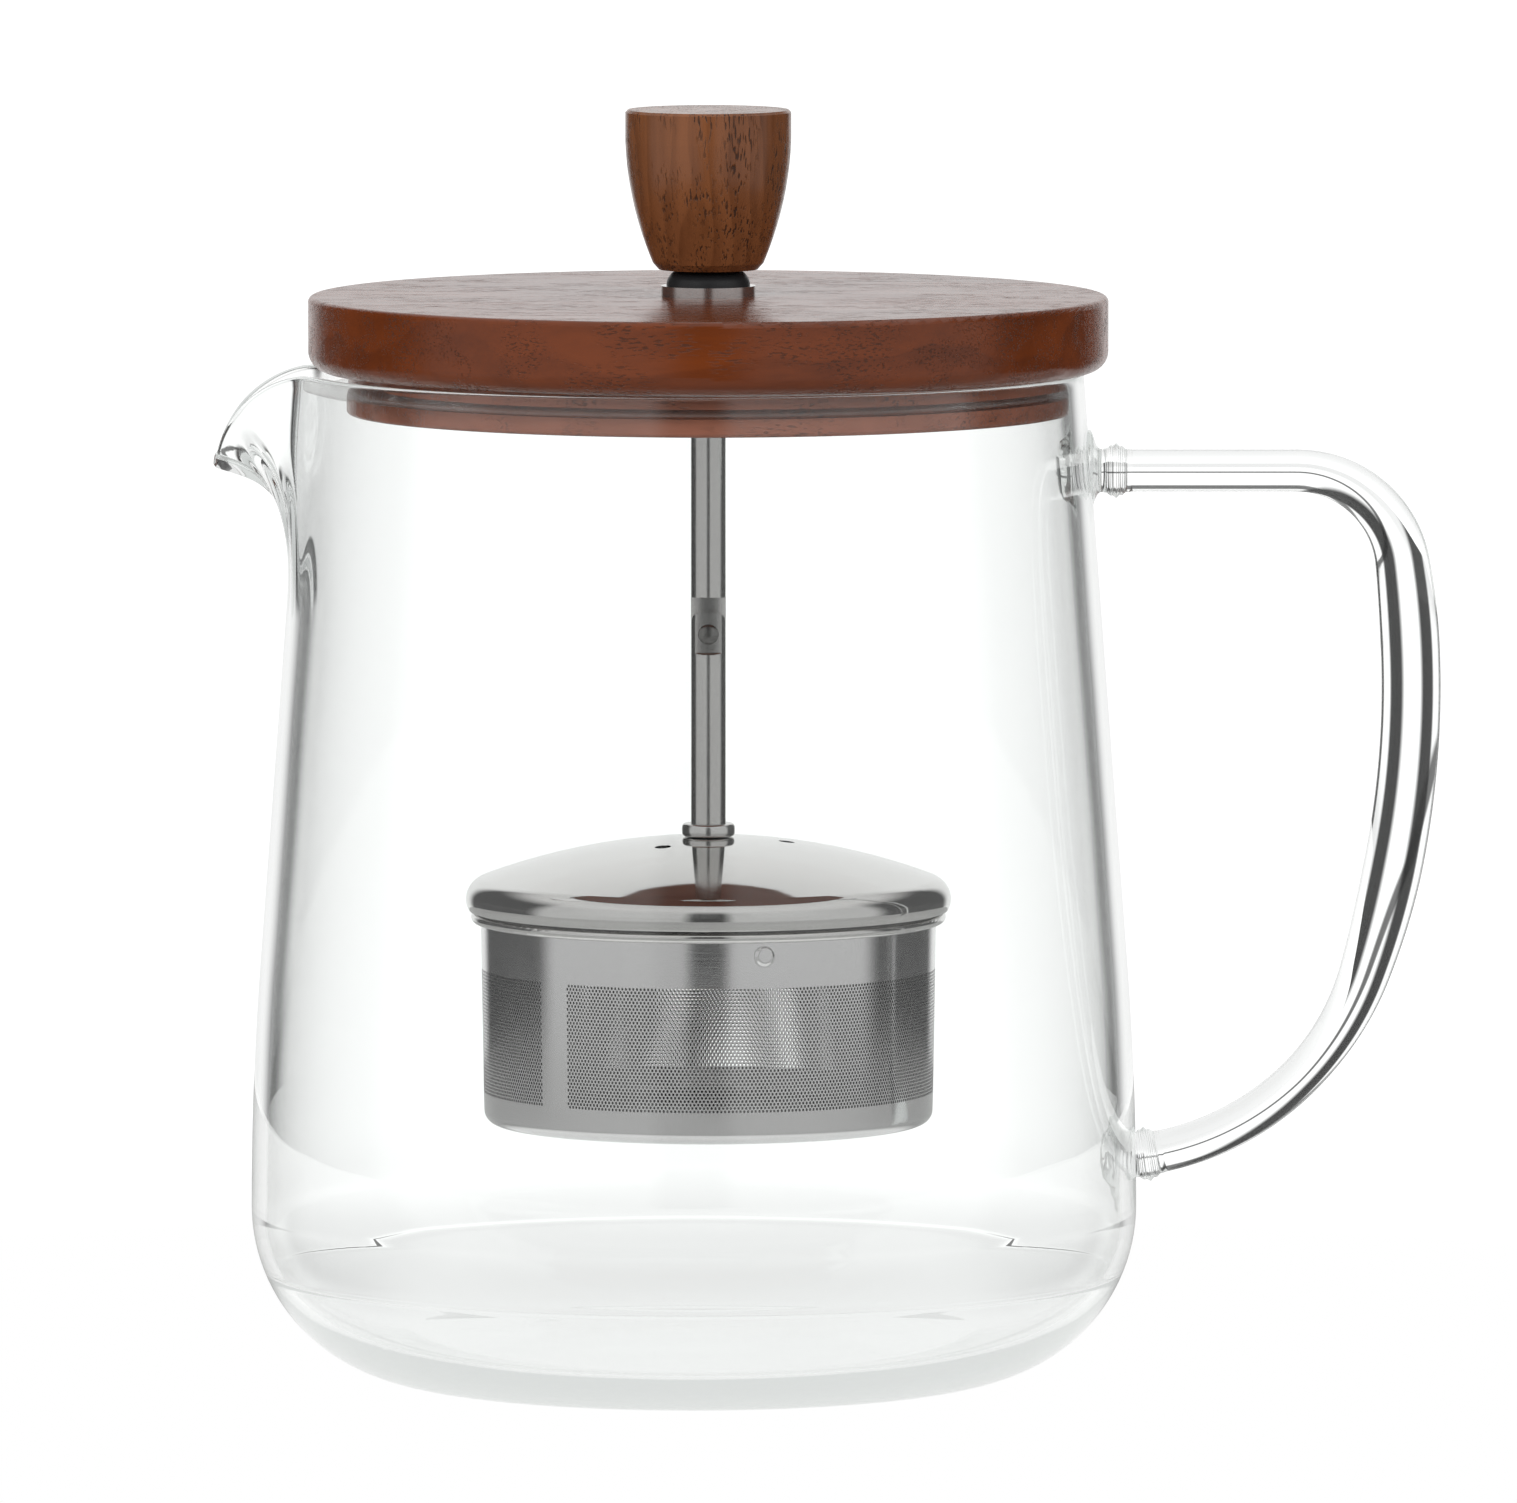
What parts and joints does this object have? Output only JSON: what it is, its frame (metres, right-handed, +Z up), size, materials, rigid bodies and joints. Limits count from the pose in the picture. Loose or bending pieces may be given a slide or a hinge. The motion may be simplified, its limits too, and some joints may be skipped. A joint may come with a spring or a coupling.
{
  "type": "glass teapot",
  "caption": "Clear glass teapot with a drawn pouring lip, a glass loop handle, a turned wooden lid and a steel infuser on a lifting stem.",
  "frame": {"origin": "centre of the flat base that the pot stands on", "axes": "+Z up; the pouring lip points along -X and the handle along +X"},
  "size_m": [0.1693, 0.122, 0.1752],
  "materials": {
    "clear_glass": "clear blown borosilicate, fire polished",
    "turned_wood": "turned reddish-brown hardwood with an oiled satin surface",
    "clear_silicone": "translucent food-grade silicone",
    "black_silicone": "matte black silicone",
    "polished_steel": "mirror-polished stainless steel",
    "brushed_steel": "drawn stainless rod with a fine lengthwise grain",
    "basket_steel": "thin rolled stainless sheet, etched with fine holes in the visual model",
    "brass_insert": "plain turned brass"
  },
  "bodies": {
    "pot": {"glass_body": "clear_glass", "glass_handle": "clear_glass"},
    "lid": {"lid_disc": "turned_wood", "lid_plug": "turned_wood", "seal_ring": "clear_silicone", "stem_bush": "polished_steel", "bush_washer": "polished_steel", "bush_nut": "polished_steel", "grommet": "black_silicone"},
    "plunger": {"knob": "turned_wood", "knob_insert": "brass_insert", "upper_rod": "brushed_steel", "knuckle_pin": "brushed_steel", "lower_rod": "brushed_steel", "stem_collar": "brushed_steel", "infuser_cover": "polished_steel", "cover_skirt": "polished_steel", "cover_washer": "polished_steel", "cover_nut": "polished_steel"},
    "basket": {"basket_rim": "polished_steel", "basket_wall": "basket_steel", "basket_floor": "basket_steel"}
  },
  "joints": [
    {"name": "lid_lift", "type": "slide", "parent": "pot", "child": "lid", "axis": [0, 0, 1], "range_m": [0, 0.11]},
    {"name": "stem_slide", "type": "slide", "parent": "lid", "child": "plunger", "axis": [0, 0, 1], "range_m": [0, 0.0535]},
    {"name": "basket_release", "type": "slide", "parent": "plunger", "child": "basket", "axis": [0, 0, -1], "range_m": [0, 0.022]}
  ]
}
